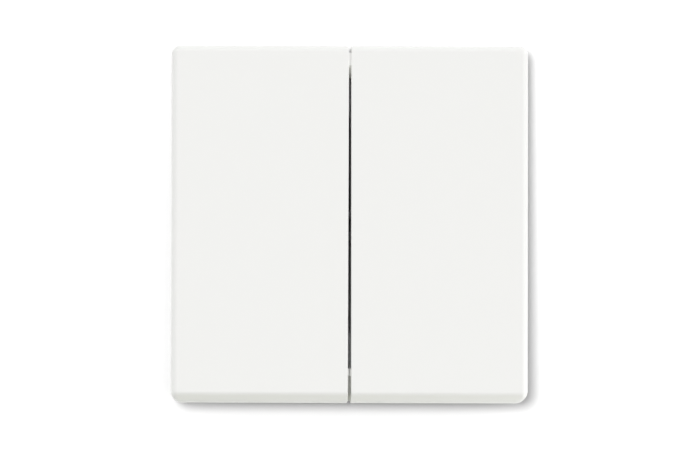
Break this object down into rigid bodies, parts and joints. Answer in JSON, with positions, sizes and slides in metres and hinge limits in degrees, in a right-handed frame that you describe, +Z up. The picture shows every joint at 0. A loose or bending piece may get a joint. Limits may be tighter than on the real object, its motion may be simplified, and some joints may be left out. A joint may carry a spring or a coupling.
{
  "type": "light switch",
  "caption": "Square white double rocker light switch whose two halves tilt on trunnions, with a steel support ring and a push-in insert for a flush wall box.",
  "frame": {"origin": "centre of the support ring's rear face, midway between the two fixing slots", "axes": "-Y out of the wall towards the user, +Y into the wall box, +Z up, +X to the user's right"},
  "size_m": [0.07, 0.0353, 0.0703],
  "materials": {
    "face_white": "satin",
    "lever_plastic": "moulded",
    "base_plastic": "moulded",
    "cover_plastic": "moulded",
    "button_plastic": "moulded",
    "zinc_steel": "zinc plated",
    "screw_steel": "plated",
    "spring_steel": "bright drawn",
    "contact_brass": "bright",
    "contact_silver": "bright"
  },
  "bodies": {
    "insert": {"base": "base_plastic", "bearing_cover": "cover_plastic", "support_ring": "zinc_steel", "assembly_screws": "screw_steel", "line_bar": "contact_brass", "output_bar_left": "contact_brass", "output_bar_right": "contact_brass", "fixed_contact_left": "contact_silver", "fixed_contact_right": "contact_silver", "clamp_spring_line": "spring_steel", "clamp_spring_left": "spring_steel", "clamp_spring_right": "spring_steel", "claw_pin_left": "screw_steel", "claw_pin_right": "screw_steel"},
    "rocker_left": {"rocker_left": "face_white", "lever_left": "lever_plastic", "toggle_spring_left": "spring_steel"},
    "plunger_left": {"plunger_left": "lever_plastic"},
    "bridge_left": {"contact_bridge_left": "contact_brass", "bridge_contact_left": "contact_silver"},
    "claw_left": {"claw_left": "zinc_steel"},
    "claw_screw_left": {"claw_screw_left": "screw_steel"},
    "rocker_right": {"rocker_right": "face_white", "lever_right": "lever_plastic", "toggle_spring_right": "spring_steel"},
    "plunger_right": {"plunger_right": "lever_plastic"},
    "bridge_right": {"contact_bridge_right": "contact_brass", "bridge_contact_right": "contact_silver"},
    "claw_right": {"claw_right": "zinc_steel"},
    "claw_screw_right": {"claw_screw_right": "screw_steel"},
    "release_button_line": {"release_button_line": "button_plastic"},
    "release_button_left": {"release_button_left": "button_plastic"},
    "release_button_right": {"release_button_right": "button_plastic"}
  },
  "joints": [
    {"name": "rocker_left_press", "type": "hinge", "parent": "insert", "child": "rocker_left", "pos_m": [-0.01, -0.004, 0], "axis": [1, 0, 0], "range_deg": [0, 6]},
    {"name": "plunger_left_slide", "type": "slide", "parent": "rocker_left", "child": "plunger_left", "axis": [0, 0.9986, -0.0523], "range_m": [-0.0008, 0], "stiffness_N_per_m": 400, "springref_m": 0.002, "deforming": ["toggle_spring_left"]},
    {"name": "bridge_left_rock", "type": "hinge", "parent": "insert", "child": "bridge_left", "pos_m": [-0.01, 0.006, 0], "axis": [1, 0, 0], "range_deg": [-10, 0]},
    {"name": "claw_left_swing", "type": "hinge", "parent": "insert", "child": "claw_left", "pos_m": [-0.028, 0.0024, 0], "axis": [0, 0, 1], "range_deg": [0, 24]},
    {"name": "claw_screw_left_drive", "type": "slide", "parent": "insert", "child": "claw_screw_left", "axis": [0, 1, 0], "range_m": [0, 0.0015]},
    {"name": "rocker_right_press", "type": "hinge", "parent": "insert", "child": "rocker_right", "pos_m": [0.01, -0.004, 0], "axis": [1, 0, 0], "range_deg": [0, 6]},
    {"name": "plunger_right_slide", "type": "slide", "parent": "rocker_right", "child": "plunger_right", "axis": [0, 0.9986, -0.0523], "range_m": [-0.0008, 0], "stiffness_N_per_m": 400, "springref_m": 0.002, "deforming": ["toggle_spring_right"]},
    {"name": "bridge_right_rock", "type": "hinge", "parent": "insert", "child": "bridge_right", "pos_m": [0.01, 0.006, 0], "axis": [1, 0, 0], "range_deg": [-10, 0]},
    {"name": "claw_right_swing", "type": "hinge", "parent": "insert", "child": "claw_right", "pos_m": [0.028, 0.0024, 0], "axis": [0, 0, -1], "range_deg": [0, 24]},
    {"name": "claw_screw_right_drive", "type": "slide", "parent": "insert", "child": "claw_screw_right", "axis": [0, 1, 0], "range_m": [0, 0.0015]},
    {"name": "release_line_press", "type": "slide", "parent": "insert", "child": "release_button_line", "axis": [0, -1, 0], "range_m": [0, 0.0012], "stiffness_N_per_m": 600, "springref_m": -0.0005, "deforming": ["clamp_spring_line"]},
    {"name": "release_left_press", "type": "slide", "parent": "insert", "child": "release_button_left", "axis": [0, -1, 0], "range_m": [0, 0.0012], "stiffness_N_per_m": 600, "springref_m": -0.0005, "deforming": ["clamp_spring_left"]},
    {"name": "release_right_press", "type": "slide", "parent": "insert", "child": "release_button_right", "axis": [0, -1, 0], "range_m": [0, 0.0012], "stiffness_N_per_m": 600, "springref_m": -0.0005, "deforming": ["clamp_spring_right"]}
  ],
  "couplings": [
    {"joint": "bridge_left_rock", "follows": "rocker_left_press", "ratio": -1.6667},
    {"joint": "claw_screw_left_drive", "follows": "claw_left_swing", "m_per_rad": 0.0035},
    {"joint": "bridge_right_rock", "follows": "rocker_right_press", "ratio": -1.6667},
    {"joint": "claw_screw_right_drive", "follows": "claw_right_swing", "m_per_rad": 0.0035}
  ]
}
